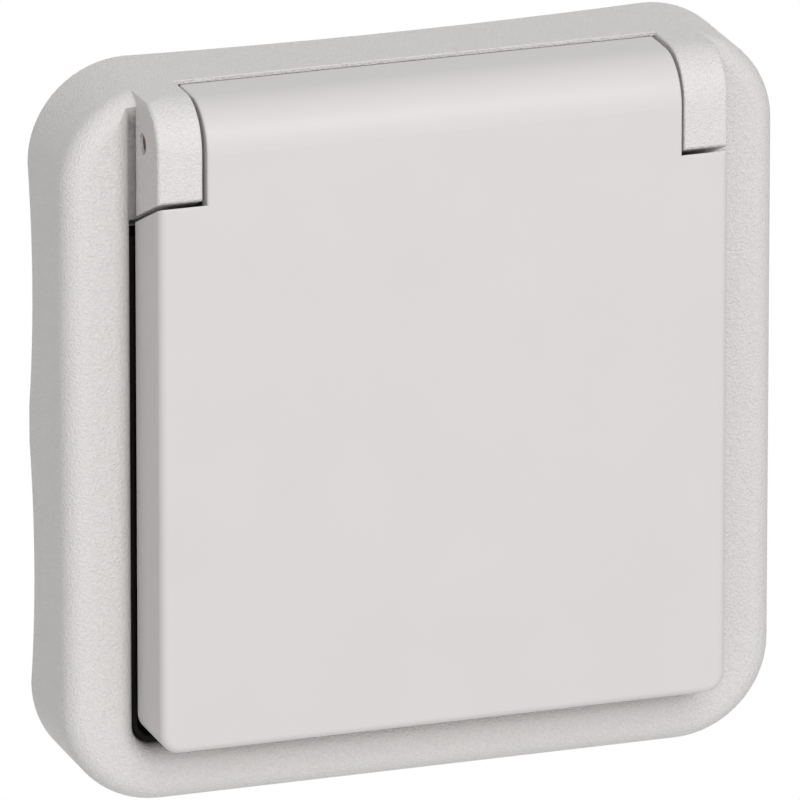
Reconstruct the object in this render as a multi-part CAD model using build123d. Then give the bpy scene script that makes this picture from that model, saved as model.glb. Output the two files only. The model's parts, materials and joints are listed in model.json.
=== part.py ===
from build123d import *
import os
from math import cos, hypot, radians, tan

# Splash-proof flush wall socket: soft square frame, hinged lid, plug well and indicator light.
# Millimetres. X runs right, Y into the wall, Z up; Y = 0 is the wall, and depths count forwards from it.

# Frame
FRAME_W = 82.0
BAND_W = 7.9
FRAME_CORNER = 11.0
FRAME_DEPTH = 13.1
RIM_OUTER_R = 2.6
RIM_INNER_R = 2.2
FRAME_WALL = 2.2
TRAY_DEPTH = 6.5
TRAY_WALL = 1.6
RELIEF = 1.4
FOOT_W = 4.0

# Lid and hinge
LID_PROUD = 7.6
LID_GAP = 0.4
FINGER_GAP = 2.1
LID_CORNER = 2.3
LID_EDGE_R = 0.95
LID_WALL = 2.0
SKIRT_SINK = 0.85
ROLL_R = 5.3
HINGE_DROP = 5.3
HINGE_BACK = 5.8
LIP_BACK = 4.1
LIP_GAP = 0.3
LIP_EDGE_R = 0.4
STRIP_EDGE_R = 0.1
EAR_W = 5.1
EAR_SET = 0.5
EAR_DROP = 10.4
EAR_TILT = 25.0
EAR_EDGE_R = 0.45
EAR_BEVEL = 0.18
EAR_LIFT = 0.5
VALLEY_W = 1.2
VALLEY_DEPTH = 3.4
LEDGE_GAP = 0.6
LID_STEP = 0.3
CHEEK_R = 5.95
SOFT_R = 0.25
PIN_R = 1.2
PIN_RECESS = 0.4
PIN_LENGTH = 19.0
KNUCKLE_R = 3.4
KNUCKLE_L = 4.2
SWEEP_CLEARANCE = 0.25
RUNNING_CLEARANCE = 0.05
MOVING_CLEARANCE = 0.3
SPRING_WIRE = 0.6
SPRING_TURNS = 6
SPRING_PLAY = 0.4

# Seals
SEAL_T = 0.8
SEAL_EDGE_T = 0.7
SEAL_CLEARANCE = 0.2
LID_SEAL_W = 2.5
LID_SEAL_T = 1.7
SEAL_INSET = 0.5
WALL_SEAL_W = 2.3
WALL_SEAL_T = 3.5

# Faceplate and plug well
PLATE_GAP = 0.2
PLATE_CORNER = 5.0
PLATE_T = 3.0
PLATE_LAP = 2.0
WELL_DEPTH = 17.5
WELL_WALL = 1.6
FLOOR_T = 2.4
KEY_W = 4.2
KEY_DEPTH = 1.7
MOUTH_DROP = 2.0
POLE_PITCH = 19.0
POLE_HOLE_R = 2.6
FIT = 0.2

# Insert behind the wall
STRAP_GAP = 1.5
STRAP_T = 1.0
SLOT_EDGE = 5.0
SLOT_R = 1.8
SLOT_L = 7.2
BASE_WALL = 1.2
BASE_DEPTH = 32.0
COVER_T = 2.0
RIVET_R = 1.2
RIVET_EDGE = 2.95
RIVET_L = 7.0
STRIP_T = 0.8
SLEEVE_R = 2.45
SLEEVE_T = 0.7
TERMINAL_W = 6.8
TERMINAL_H = 7.0
TERMINAL_D = 6.9
TERMINAL_EDGE = 7.9
WIRE_R = 1.75
SCREW_R = 1.5
SCREW_L = 10.0
HEAD_R = 2.33
INSERT_T = 1.0
INSERT_DROP = 2.0
COVER_SCREW_R = 1.0
COVER_SCREW_L = 6.0
COVER_SCREW_EDGE = 5.0
COVER_SCREW_Z = 9.0
EARTH_W = 5.0
EARTH_INSET = 0.3
EARTH_BULGE = 2.4
SHUTTER_T = 2.6
SHUTTER_LAND = 3.2
SHUTTER_TOP = 8.0
COIL_R = 1.0
COIL_WIRE_R = 0.17
COIL_SPACE = 2.7
COIL_SOLID = 2.8
COIL_POCKET_W = 4.0
BOSS_R = 3.2
POCKET_WALL = 3.5

# Indicator light
LENS_W = 7.8
LENS_H = 2.4
LENS_LIP = 0.5
LENS_PROUD = 0.4
LED_W = 3.2
LED_H = 2.0
LED_T = 1.5
LED_GAP = 0.3
BOARD_T = 1.0
BOARD_DEPTH = 2.2
LEAD_R = 0.6
LEAD_RISE = 2.0
BOARD_MARGIN = 3.7
BOARD_BELOW = 2.2
BOARD_ABOVE = 5.0
RESISTOR_X = 3.6
RESISTOR_W = 3.2
RESISTOR_H = 1.6
PEG_R = 0.8
PEG_SPREAD = 1.8
PEG_HEAD_R = 1.3
PEG_HEAD_T = 0.6

TOP = FRAME_W / 2
OPENING = FRAME_W - 2 * BAND_W
LID_W = OPENING - 2 * LID_GAP
LID_TOP = TOP - LID_STEP
LID_FRONT = FRAME_DEPTH + LID_PROUD
EAR_FRONT = LID_FRONT - EAR_SET
VALLEY_FLOOR = FRAME_DEPTH - VALLEY_DEPTH
SKIRT_END = FRAME_DEPTH - SKIRT_SINK
HINGE_D = LID_FRONT - HINGE_BACK
HINGE_Z = TOP - HINGE_DROP
LIP_D = HINGE_D - LIP_BACK
STRIP_END = LIP_D - LIP_GAP
LIP_R = hypot(LIP_BACK - LIP_EDGE_R, HINGE_DROP - LID_STEP - LIP_EDGE_R) + LIP_EDGE_R
SWEEP_R = LIP_R + SWEEP_CLEARANCE
EAR_X = LID_W / 2 - EAR_W
BARREL_X = EAR_X - LID_GAP
OPENING_CORNER = LID_CORNER + LID_GAP
OPENING_LOW = LID_W / 2 + FINGER_GAP
PLATE_W = 2 * (EAR_X - PLATE_GAP)
LENS_ROOM = LENS_H + 2 * (LENS_LIP + FIT)
WELL_R = PLATE_W / 2 - PLATE_LAP - LENS_ROOM - WELL_WALL
LENS_Z = -(WELL_R + WELL_WALL + LENS_ROOM / 2)
LEAD_Z = LENS_Z + LEAD_RISE
LENS_BACK = BOARD_DEPTH + BOARD_T + LED_T + LED_GAP
PLATE_BACK = TRAY_DEPTH + SEAL_T
PLATE_FRONT = PLATE_BACK + PLATE_T
WELL_FLOOR = PLATE_FRONT - WELL_DEPTH
FLOOR_BACK = WELL_FLOOR - FLOOR_T
CAVITY_R = WELL_R + WELL_WALL + FIT
POLE_X = POLE_PITCH / 2
PEG_X = POLE_X + PEG_SPREAD
STRAP_W = FRAME_W - 2 * (FRAME_WALL + WALL_SEAL_W + STRAP_GAP)
SLOT_PITCH = STRAP_W - 2 * SLOT_EDGE
BASE_W = 2 * (CAVITY_R + BASE_WALL)
BASE_CORNER = 0.26 * BASE_W
RIVET_AT = (CAVITY_R + RIVET_EDGE) * cos(radians(45))
COVER_SCREW_X = BASE_W / 2 - COVER_SCREW_EDGE
EARTH_REACH = WELL_R - EARTH_INSET
COIL_END = EARTH_REACH - COIL_SPACE
SHUTTER_TRAVEL = COIL_END - SHUTTER_TOP - COIL_SOLID
TERMINAL_Z = TERMINAL_EDGE - BASE_W / 2
TAIL_DEPTH = BASE_DEPTH - TERMINAL_D - STRIP_T
SHUTTER_FLOOR = FLOOR_BACK - SHUTTER_T - 2 * MOVING_CLEARANCE
EARTH_D = SHUTTER_FLOOR - FIT


def rect(x0, x1, z0, z1, r=0.0):
    shape = RectangleRounded(x1 - x0, z1 - z0, r) if r else Rectangle(x1 - x0, z1 - z0)
    return Pos((x0 + x1) / 2, (z0 + z1) / 2) * shape


def slab(sketch, d0, d1):
    """A sketch seen from the front, solid from depth d0 to depth d1."""
    return extrude(Plane.XZ.offset(d0) * sketch, d1 - d0, dir=(0, -1, 0))


def across(sketch, x0, x1):
    """A side profile drawn as depth and height, solid from x0 to x1."""
    side = Plane((x0, 0, 0), x_dir=(0, -1, 0), z_dir=(-1, 0, 0))
    return extrude(side * sketch, x1 - x0, dir=(1, 0, 0))


def block(x0, x1, d0, d1, z0, z1):
    return slab(rect(x0, x1, z0, z1), d0, d1)


def rod_x(r, x0, x1, d=HINGE_D, z=HINGE_Z):
    return across(Pos(d, z) * Circle(r), x0, x1)


def rod_y(r, x, z, d0, d1):
    return slab(Pos(x, z) * Circle(r), d0, d1)


def rod_z(r, x, d, z0, z1):
    return Pos(x, -d, (z0 + z1) / 2) * Cylinder(r, z1 - z0)


def cone_y(r0, r1, x, z, d0, d1):
    """A cone on a front-to-back axis, radius r0 at depth d0 and r1 at depth d1."""
    near = Plane.XZ.offset(d1) * Pos(x, z) * Circle(r1)
    return loft([Plane.XZ.offset(d0) * Pos(x, z) * Circle(r0), near])


def rolled(d0, z0, front, top, r):
    """Side profile with a rolled upper front corner."""
    line = Polyline((d0, z0), (front, z0), (front, top - r))
    line += JernArc((front, top - r), (0, 1), r, 90)
    line += Polyline((front - r, top), (d0, top), (d0, z0))
    return make_face(line)


def mirrored(part):
    return part + mirror(part, about=Plane.YZ)


def ear_base(depth, drop=0.0):
    """Height of the slanted underside of the ears at a depth."""
    return TOP - EAR_DROP - drop - (LID_FRONT - depth) * tan(radians(EAR_TILT))


def cover_frame():
    half = FRAME_W / 2
    inner = FRAME_W - 2 * FRAME_WALL
    outline = RectangleRounded(FRAME_W, FRAME_W, FRAME_CORNER)
    outer = slab(outline, 0, FRAME_DEPTH)
    outer = fillet(outer.faces().sort_by(Axis.Y)[0].edges(), RIM_OUTER_R)

    # The opening runs out through the top, and its rim is rounded before the outer form trims it.
    side = OPENING / 2
    well = rect(-side, side, -OPENING_LOW, FRAME_W, OPENING_CORNER)
    plate = slab(Rectangle(2 * FRAME_W, 2 * FRAME_W), 0, FRAME_DEPTH)
    plate -= slab(well, TRAY_DEPTH, FRAME_DEPTH)
    crest = plate.faces().sort_by(Axis.Y)[0]
    rim = [e for e in crest.edges() if abs(e.center().X) < side + 1 and e.center().Z < FRAME_W - 5]
    rim = [e for e in rim if e.center().Z > -OPENING_LOW - 1]
    body = outer & fillet(rim, RIM_INNER_R)

    # Top strip behind the lid, undercut where the lip of the lid swings through.
    reach = EAR_X + EAR_W / 2
    strip = across(rolled(0, half - FRAME_WALL, STRIP_END, half, STRIP_EDGE_R), -reach, reach)
    strip -= rod_x(SWEEP_R, -EAR_X, EAR_X)
    body += strip & slab(outline, 0, FRAME_DEPTH)

    # Hollow back: one tray, and a groove under the rim on three sides.
    body -= slab(RectangleRounded(inner, inner, FRAME_CORNER - FRAME_WALL), 0, TRAY_DEPTH - TRAY_WALL)
    land = OPENING / 2 + TRAY_WALL
    groove = RectangleRounded(inner, inner, FRAME_CORNER - FRAME_WALL)
    groove -= rect(-land, land, -OPENING_LOW - TRAY_WALL, FRAME_W, OPENING_CORNER + TRAY_WALL)
    groove -= rect(-half, half, ear_base(TRAY_DEPTH), half)
    body -= slab(groove, 0, FRAME_DEPTH - FRAME_WALL)
    gap = PLATE_W - 2 * PLATE_LAP
    body -= slab(RectangleRounded(gap, gap, PLATE_CORNER - 1), 0, FRAME_DEPTH)

    body += mirrored(hinge_ear() & slab(outline, 0, LID_FRONT + 1))
    body += mirrored(ear_root() & outer)

    # The rear edge stands on its corners and the middle of both upright sides, with arches between.
    span = FRAME_W - 2 * FRAME_CORNER
    arch = (span - FOOT_W) / 2
    for k in (-1, 1):
        low = k * (FOOT_W + arch) / 2
        body -= arch_cutter(low, arch)
    body -= Rot(0, 90, 0) * arch_cutter(0, span)
    return body


def hinge_ear():
    """Right ear with the side profile of the lid; a narrow valley parts its head from the rim."""
    back = TRAY_DEPTH - TRAY_WALL
    side = LID_W / 2
    ear = across(rolled(back, ear_base(back), EAR_FRONT, TOP, ROLL_R), EAR_X, side)
    edge = EAR_FRONT - EAR_BEVEL
    bevel = [(edge, ear_base(edge)), (EAR_FRONT, ear_base(EAR_FRONT) + EAR_BEVEL)]
    under = Polygon((0, ear_base(0)), *bevel, (EAR_FRONT, 0), (0, 0), align=None)
    ear -= across(under, 0, LID_W)
    ear = fillet(proud_edges(ear.faces().sort_by(Axis.X)[-1]), EAR_EDGE_R)
    ear = fillet(proud_edges(ear.faces().sort_by(Axis.X)[0]), SOFT_R)
    valley = Polygon(*valley_slope(), (FRAME_DEPTH, 0), (VALLEY_FLOOR, 0), align=None)
    valley &= rect(VALLEY_FLOOR, FRAME_DEPTH - EAR_LIFT, 0, TOP)
    ear -= across(valley, OPENING / 2 - VALLEY_W, side + 1)
    return ear - rod_x(PIN_R, EAR_X, side + 1)


def ear_root():
    """Web from the right ear to the rim, flush at the top and sloping down to the valley floor."""
    back = TRAY_DEPTH - TRAY_WALL
    low = ear_base(SKIRT_END) + LID_GAP
    front = [(VALLEY_FLOOR, low), *valley_slope(), (FRAME_DEPTH, TOP)]
    web = Polygon((back, low), *front, (back, TOP), align=None)
    return across(web, OPENING / 2 - VALLEY_W - TRAY_WALL, OPENING / 2 + RIM_INNER_R)


def valley_slope():
    """Depths and heights at which the valley leaves its floor and reaches the front."""
    return [(VALLEY_FLOOR, HINGE_Z), (FRAME_DEPTH, TOP - RIM_OUTER_R / 2)]


def proud_edges(face):
    """Front and upper edges of an ear's side face."""
    low = ear_base(HINGE_D) + 3
    return [e for e in face.edges() if -e.center().Y > TRAY_DEPTH and e.center().Z > low]


def arch_cutter(at, length):
    """Lens-shaped cutter that lifts both upright sides of the rear edge, centred on height at."""
    r = (length / 2) ** 2 / (2 * RELIEF) + RELIEF / 2
    disc = Pos(RELIEF - r, at) * Circle(r)
    disc &= rect(-1, RELIEF, at - length / 2, at + length / 2)
    side = across(disc, FRAME_W / 2 - FRAME_WALL, FRAME_W / 2 + 1)
    return mirrored(side)


def hinged_lid():
    half = LID_W / 2
    outside = rolled(SKIRT_END, -half, LID_FRONT, LID_TOP, ROLL_R)
    body = slab(rect(-half, half, -half, TOP + FRAME_W, LID_CORNER), 0, LID_FRONT + 1)
    body &= across(outside, -half, half)
    front = body.faces().sort_by(Axis.Y)[0]
    body = fillet(front.edges().sort_by(Axis.Z)[:-1], LID_EDGE_R)
    lip = block(-half, half, LIP_D, SKIRT_END, LID_TOP - LID_WALL, LID_TOP)
    body += fillet(lip.edges().filter_by(Axis.X).sort_by(Axis.Z)[-2:].sort_by(Axis.Y)[-1:], LIP_EDGE_R)

    # Shelled from behind.
    inside = half - LID_WALL
    profile = rolled(0, -inside, LID_FRONT - LID_WALL, LID_TOP - LID_WALL, ROLL_R - LID_WALL)
    room = slab(rect(-inside, inside, -inside, TOP + FRAME_W, LID_CORNER - 1), 0, LID_FRONT)
    body -= room & across(profile, -inside, inside)

    # The upper corners make way for the ears along a slanted ledge.
    drop = LEDGE_GAP / cos(radians(EAR_TILT))
    edge = LID_FRONT - SOFT_R
    ledge = [(0, ear_base(0, drop)), (edge, ear_base(edge, drop)), (edge + 1, ear_base(edge, drop) - 1)]
    notch = Polygon(*ledge, (edge + 1, TOP + 1), (0, TOP + 1), align=None)
    body -= mirrored(across(notch, BARREL_X, half + 1))

    # Round cheeks close the roll, and a knuckle behind each turns on its pin.
    cheek = rod_x(CHEEK_R, BARREL_X - LID_WALL, BARREL_X) & across(outside, 0, half)
    knuckle = rod_x(KNUCKLE_R, BARREL_X - KNUCKLE_L, BARREL_X)
    body += mirrored(cheek + knuckle)
    bore = rod_x(PIN_R + RUNNING_CLEARANCE, BARREL_X - KNUCKLE_L - 1, BARREL_X + 1)
    body -= mirrored(bore)

    # Softened edges along the slits beside the ears.
    for x in (-BARREL_X, BARREL_X):
        rim = [e for e in body.edges() if abs(e.center().X - x) < 0.01 and is_outside(e.center())]
        body = fillet(rim, SOFT_R)

    # Ring rib that carries the seal.
    rib_end = PLATE_FRONT + SEAL_CLEARANCE + LID_SEAL_T
    ring = seal_ring(PLATE_W / 2 - SEAL_INSET, LID_SEAL_W)
    return body + slab(ring, rib_end, LID_FRONT - LID_WALL / 2)


def is_outside(p):
    """Whether a point lies on the outer skin of the lid rather than inside it."""
    return p.Y < -LID_FRONT + 0.01 or p.Z > LID_TOP - ROLL_R / 2


def seal_ring(outer, width, corner=PLATE_CORNER):
    inner = outer - width
    ring = RectangleRounded(2 * outer, 2 * outer, corner)
    return ring - RectangleRounded(2 * inner, 2 * inner, max(corner - width, 0.5))


def hinge_pin(side):
    """Pin with a slotted inner end, pressed into the ear."""
    x0 = LID_W / 2 - PIN_RECESS - PIN_LENGTH
    pin = rod_x(PIN_R, x0, x0 + PIN_LENGTH)
    pin = chamfer(pin.edges().filter_by(GeomType.CIRCLE), 0.2)
    slot = SPRING_WIRE * 0.6
    pin -= block(x0 - 1, x0 + 3, 0, LID_FRONT, HINGE_Z - slot, HINGE_Z + slot)
    return pin if side > 0 else mirror(pin, about=Plane.YZ)


def lid_spring():
    """Torsion spring on the left pin: a tang in the slot of the pin, a long leg on the lid."""
    wire = SPRING_WIRE / 2
    coil_r = PIN_R + SPRING_PLAY + wire
    x1 = -(LID_W / 2 - PIN_RECESS - PIN_LENGTH) - 1.5
    pitch = SPRING_WIRE * 1.4
    length = pitch * SPRING_TURNS
    path = Helix(pitch=pitch, height=length, radius=coil_r)
    start = path @ 0
    section = Plane(start, z_dir=path % 0) * Circle(wire)
    coil = sweep(section, path=path, is_frenet=True)
    place = Plane((x1 - length, -HINGE_D, HINGE_Z), x_dir=(0, -1, 0), z_dir=(1, 0, 0))
    coil = place * coil
    hook = Pos(HINGE_D, HINGE_Z) * rect(-wire, coil_r + wire * 0.8, -wire, wire)
    tang = across(hook, x1 - wire, x1 + wire)
    x0 = x1 - length
    reach = LID_FRONT - LID_WALL - 0.2
    arm = rect(HINGE_D + coil_r - wire, reach, HINGE_Z - wire, HINGE_Z + wire)
    return coil + tang + across(arm, x0 - wire, x0 + wire)


def lid_gasket():
    d0 = PLATE_FRONT + SEAL_CLEARANCE
    ring = seal_ring(PLATE_W / 2 - SEAL_INSET, LID_SEAL_W)
    body = slab(ring, d0, d0 + LID_SEAL_T)
    return fillet(body.faces().sort_by(Axis.Y)[-1].edges(), 0.5)


def wall_gasket():
    half = FRAME_W / 2 - FRAME_WALL
    return slab(seal_ring(half, WALL_SEAL_W, FRAME_CORNER - FRAME_WALL), 0, WALL_SEAL_T)


def plate_gasket():
    """Mat in the tray: the faceplate stands on it, and below the ears its outer edge turns up."""
    side = OPENING / 2 - FIT
    gap = PLATE_W - 2 * PLATE_LAP
    ears = ear_base(TRAY_DEPTH) - FIT
    plan = rect(-side, side, FIT - OPENING_LOW, side, OPENING_CORNER - FIT)
    mat = plan - RectangleRounded(gap, gap, PLATE_CORNER - 1)
    for k in (-1, 1):
        x0, x1 = sorted((k * (EAR_X - FIT), k * OPENING / 2))
        mat -= rect(x0, x1, ears, TOP)
    edge = plan - offset(plan, -SEAL_EDGE_T) - rect(-side, side, ears, TOP)
    return slab(mat, TRAY_DEPTH, PLATE_BACK) + slab(edge, PLATE_BACK, FRAME_DEPTH - RIM_INNER_R - FIT)


def socket_faceplate():
    body = slab(RectangleRounded(PLATE_W, PLATE_W, PLATE_CORNER), PLATE_BACK, PLATE_FRONT)
    body = fillet(body.faces().sort_by(Axis.Y)[0].edges(), 0.8)
    body += rod_y(WELL_R + WELL_WALL, 0, 0, FLOOR_BACK, PLATE_BACK + 1)
    body -= rod_y(WELL_R, 0, 0, WELL_FLOOR, PLATE_FRONT + 1)
    mouth = body.edges().filter_by(lambda e: e.geom_type == GeomType.CIRCLE and e.radius == WELL_R)
    body = fillet(mouth.sort_by(Axis.Y)[0], 1.0)
    guide_top = PLATE_FRONT - MOUTH_DROP
    half = KEY_W / 2
    key = block(WELL_R - KEY_DEPTH, WELL_R + WELL_WALL / 2, WELL_FLOOR - 0.5, guide_top, -half, half)
    body += mirrored(key)
    slot_w = EARTH_W / 2 + FIT * 2
    for k in (-1, 1):
        body -= rod_y(POLE_HOLE_R, k * POLE_X, 0, FLOOR_BACK, WELL_FLOOR + 0.1)
        z0, z1 = sorted((k * (EARTH_REACH - STRIP_T), k * (EARTH_REACH + STRIP_T / 2 + FIT * 2)))
        body -= block(-slot_w, slot_w, FLOOR_BACK - 1, guide_top, z0, z1)
        body += rod_y(PEG_HEAD_R, k * PEG_X, LENS_Z, BOARD_DEPTH + BOARD_T, PLATE_BACK)
        body += rod_y(PEG_R, k * PEG_X, LENS_Z, BOARD_DEPTH, PLATE_BACK)
        body += rod_y(PEG_HEAD_R, k * PEG_X, LENS_Z, BOARD_DEPTH - PEG_HEAD_T, BOARD_DEPTH)
    body -= rod_y(SCREW_R + FIT, 0, 0, FLOOR_BACK, WELL_FLOOR)
    body -= cone_y(SCREW_R + FIT, 2 * SCREW_R + FIT, 0, 0, WELL_FLOOR - SCREW_R, WELL_FLOOR)
    window = rect(-LENS_W / 2, LENS_W / 2, LENS_Z - LENS_H / 2, LENS_Z + LENS_H / 2)
    return body - slab(offset(window, FIT / 2), PLATE_BACK, PLATE_FRONT)


def centre_screw():
    head = cone_y(SCREW_R, 2 * SCREW_R, 0, 0, WELL_FLOOR - SCREW_R, WELL_FLOOR)
    body = head + rod_y(SCREW_R, 0, 0, FLOOR_BACK - SCREW_L, WELL_FLOOR - SCREW_R)
    cross = rect(-1.9, 1.9, -0.4, 0.4) + rect(-0.4, 0.4, -1.9, 1.9)
    return body - slab(cross, WELL_FLOOR - 0.9, WELL_FLOOR)


def screw_insert():
    ring = Circle(SCREW_R + INSERT_T) - Circle(SCREW_R + RUNNING_CLEARANCE)
    body = slab(ring, FLOOR_BACK - SCREW_L, FLOOR_BACK - INSERT_DROP)
    groove = Circle(SCREW_R + 2 * INSERT_T) - Circle(SCREW_R + 0.7 * INSERT_T)
    middle = FLOOR_BACK - (SCREW_L + INSERT_DROP) / 2
    return body - slab(groove, middle - 0.5, middle + 0.5)


def support_strap():
    sheet = RectangleRounded(STRAP_W, STRAP_W, 9) - Circle(CAVITY_R + 2 * FIT)
    slot = SlotOverall(SLOT_L, 2 * SLOT_R)
    for k in (-1, 1):
        sheet -= Pos(k * SLOT_PITCH / 2, 0) * slot
        sheet -= Pos(0, k * SLOT_PITCH / 2) * Rot(0, 0, 90) * slot
        sheet -= Pos(k * POLE_X, LEAD_Z) * Circle(3 * LEAD_R)
        for j in (-1, 1):
            sheet -= Pos(k * RIVET_AT, j * RIVET_AT) * Circle(RIVET_R)
    return slab(sheet, 0, STRAP_T)


def strap_rivets():
    rivets = []
    for x in (-RIVET_AT, RIVET_AT):
        for z in (-RIVET_AT, RIVET_AT):
            head = slab(Pos(x, z) * Circle(2 * RIVET_R), STRAP_T, STRAP_T + 0.6)
            rivets.append(head + rod_y(RIVET_R, x, z, -RIVET_L, STRAP_T))
    return Compound(children=rivets)


def contact_base():
    body = slab(RectangleRounded(BASE_W, BASE_W, BASE_CORNER), -BASE_DEPTH, 0)
    body -= rod_y(CAVITY_R, 0, 0, FLOOR_BACK, 1)
    boss = Circle(BOSS_R)
    land = SHUTTER_LAND + MOVING_CLEARANCE
    recess = rect(-POLE_X - land, POLE_X + land, -land, SHUTTER_TOP + SHUTTER_TRAVEL + MOVING_CLEARANCE)
    recess += rect(-COIL_POCKET_W / 2, COIL_POCKET_W / 2, SHUTTER_TOP, COIL_END)
    body -= slab(recess - boss, SHUTTER_FLOOR, FLOOR_BACK)
    bed = earth_plan(FIT) - boss
    body -= slab(bed, EARTH_D - STRIP_T, FLOOR_BACK)
    half = TERMINAL_W / 2 + FIT
    low = TERMINAL_Z + TERMINAL_H / 2 + FIT
    tail = -TAIL_DEPTH
    for k in (-1, 1):
        x = k * POLE_X
        body -= rod_y(SLEEVE_R + SLEEVE_T + FIT, x, 0, tail - 3, SHUTTER_FLOOR)
        body -= block(x - half, x + half, -BASE_DEPTH, tail, -BASE_W, SLEEVE_R + SLEEVE_T + 2 * FIT)
        body -= rod_y(LEAD_R + FIT, x, LEAD_Z, tail, 0)
        screw_x = k * COVER_SCREW_X
        body -= rod_y(COVER_SCREW_R, screw_x, COVER_SCREW_Z, -BASE_DEPTH, COVER_SCREW_L - BASE_DEPTH)
        for z in (-RIVET_AT, RIVET_AT):
            body -= rod_y(RIVET_R, k * RIVET_AT, z, -RIVET_L, 0)
    body -= block(-half, half, -BASE_DEPTH, tail, -BASE_W, low)
    leg = EARTH_W / 2 + FIT
    body -= block(-leg, leg, tail, EARTH_D, low - STRIP_T - 2 * FIT, low)
    pocket = COVER_SCREW_X - COVER_SCREW_EDGE
    low_edge = COVER_SCREW_Z - 1.8 * COVER_SCREW_R
    pocket = rect(-pocket, pocket, low_edge, BASE_W / 2 - POCKET_WALL - 0.5, 2)
    body -= slab(pocket, -BASE_DEPTH, SHUTTER_FLOOR - POCKET_WALL)
    body -= rod_y(SCREW_R + FIT, 0, 0, FLOOR_BACK - INSERT_DROP, FLOOR_BACK)
    return body - rod_y(SCREW_R + INSERT_T, 0, 0, FLOOR_BACK - SCREW_L - 1, FLOOR_BACK - INSERT_DROP)


def earth_plan(grow=0.0):
    """Front view of the earth bridge: a strip with an eye round the centre boss."""
    half = EARTH_W / 2 + grow
    reach = EARTH_REACH + STRIP_T / 2 + grow
    strip = rect(-half, half, -reach, reach)
    return strip + Circle(BOSS_R + 1.4 + grow)


def earth_bracket():
    bridge = earth_plan() - Circle(BOSS_R + FIT)
    body = slab(bridge, EARTH_D - STRIP_T, EARTH_D)
    tip = PLATE_FRONT - 3
    bend = (tip + WELL_FLOOR) / 2
    line = Polyline((EARTH_D - STRIP_T, EARTH_REACH), (WELL_FLOOR + 1, EARTH_REACH))
    line += Spline(
        (WELL_FLOOR + 1, EARTH_REACH),
        (bend, EARTH_REACH - EARTH_BULGE),
        (tip, EARTH_REACH - 0.3),
        tangents=((1, 0), (1, 0.35)),
    )
    finger = across(trace(line, STRIP_T), -EARTH_W / 2, EARTH_W / 2)
    body += finger + mirror(finger, about=Plane.XY)
    low = TERMINAL_Z + TERMINAL_H / 2
    half = EARTH_W / 2
    body += block(-half, half, -TAIL_DEPTH - STRIP_T, EARTH_D, low - STRIP_T, low)
    return body + block(-half, half, -TAIL_DEPTH - STRIP_T, -TAIL_DEPTH, low - TERMINAL_H, low)


def pole_contact(side):
    """Rolled sleeve for a plug pin with a flat tail down to the clamp."""
    x = side * POLE_X
    ring = Circle(SLEEVE_R + SLEEVE_T) - Circle(SLEEVE_R) - rect(-0.6, 0.6, 0, 9)
    body = slab(Pos(x, 0) * ring, -TAIL_DEPTH - STRIP_T, SHUTTER_FLOOR - 1.5)
    tail = rect(x - 3, x + 3, LEAD_Z - 1, -SLEEVE_R + 0.2) - Pos(x, 0) * Circle(SLEEVE_R)
    return body + slab(tail, -TAIL_DEPTH - STRIP_T, -TAIL_DEPTH)


def terminal(x):
    """Clamp block with a wire hole from below and a screw hole from behind."""
    d0, d1 = -BASE_DEPTH, -TAIL_DEPTH - STRIP_T
    z0, z1 = TERMINAL_Z - TERMINAL_H / 2, TERMINAL_Z + TERMINAL_H / 2
    half = TERMINAL_W / 2
    body = block(x - half, x + half, d0, d1, z0, z1)
    body = chamfer(body.edges().filter_by(Axis.Y), 0.5)
    body -= rod_z(WIRE_R, x, wire_depth(), z0, z1)
    return body - rod_y(SCREW_R + RUNNING_CLEARANCE, x, TERMINAL_Z, d0, wire_depth())


def wire_depth():
    return -TAIL_DEPTH - STRIP_T - WIRE_R - 0.75


def terminal_screws():
    screws = []
    for x in (-POLE_X, 0, POLE_X):
        shank = rod_y(SCREW_R, x, TERMINAL_Z, -BASE_DEPTH, wire_depth() - WIRE_R - 0.3)
        head = rod_y(HEAD_R, x, TERMINAL_Z, -BASE_DEPTH - 1.8, -BASE_DEPTH)
        slot = block(x - 3, x + 3, -BASE_DEPTH - 2, -BASE_DEPTH - 1, TERMINAL_Z - 0.4, TERMINAL_Z + 0.4)
        screws.append(shank + head - slot)
    return Compound(children=screws)


def rear_cover():
    sheet = RectangleRounded(BASE_W, BASE_W, BASE_CORNER)
    for x in (-POLE_X, 0, POLE_X):
        sheet -= Pos(x, TERMINAL_Z) * Circle(HEAD_R + 2 * FIT)
    for k in (-1, 1):
        sheet -= Pos(k * COVER_SCREW_X, COVER_SCREW_Z) * Circle(COVER_SCREW_R)
    body = slab(sheet, -BASE_DEPTH - COVER_T, -BASE_DEPTH)
    return chamfer(body.faces().sort_by(Axis.Y)[-1].outer_wire().edges(), 0.6)


def cover_screws():
    screws = []
    back = -BASE_DEPTH - COVER_T
    for k in (-1, 1):
        x, z = k * COVER_SCREW_X, COVER_SCREW_Z
        head = rod_y(1.9 * COVER_SCREW_R, x, z, back - 1.2, back)
        head -= block(x - 2.5, x + 2.5, back - 1.3, back - 0.6, z - 0.3, z + 0.3)
        screws.append(head + rod_y(COVER_SCREW_R, x, z, back, COVER_SCREW_L - BASE_DEPTH))
    return Compound(children=screws)


def safety_shutter():
    """Slider with two ramped lands; the plug pins push it up."""
    side = POLE_X + SHUTTER_LAND
    low = -SHUTTER_LAND - 0.1
    inner = POLE_X - SHUTTER_LAND + 0.2
    plan = rect(-side, side, -SHUTTER_LAND, SHUTTER_TOP) - rect(-inner, inner, low - 1, BOSS_R + 1)
    front = FLOOR_BACK - MOVING_CLEARANCE
    body = slab(plan, front - SHUTTER_T, front)
    ramp = [(front + 1, low), (front + 1, POLE_HOLE_R), (front, POLE_HOLE_R), (front - 2, low)]
    ramp = Polygon(*ramp, align=None)
    return body - across(ramp, -side - 1, side + 1)


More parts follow.
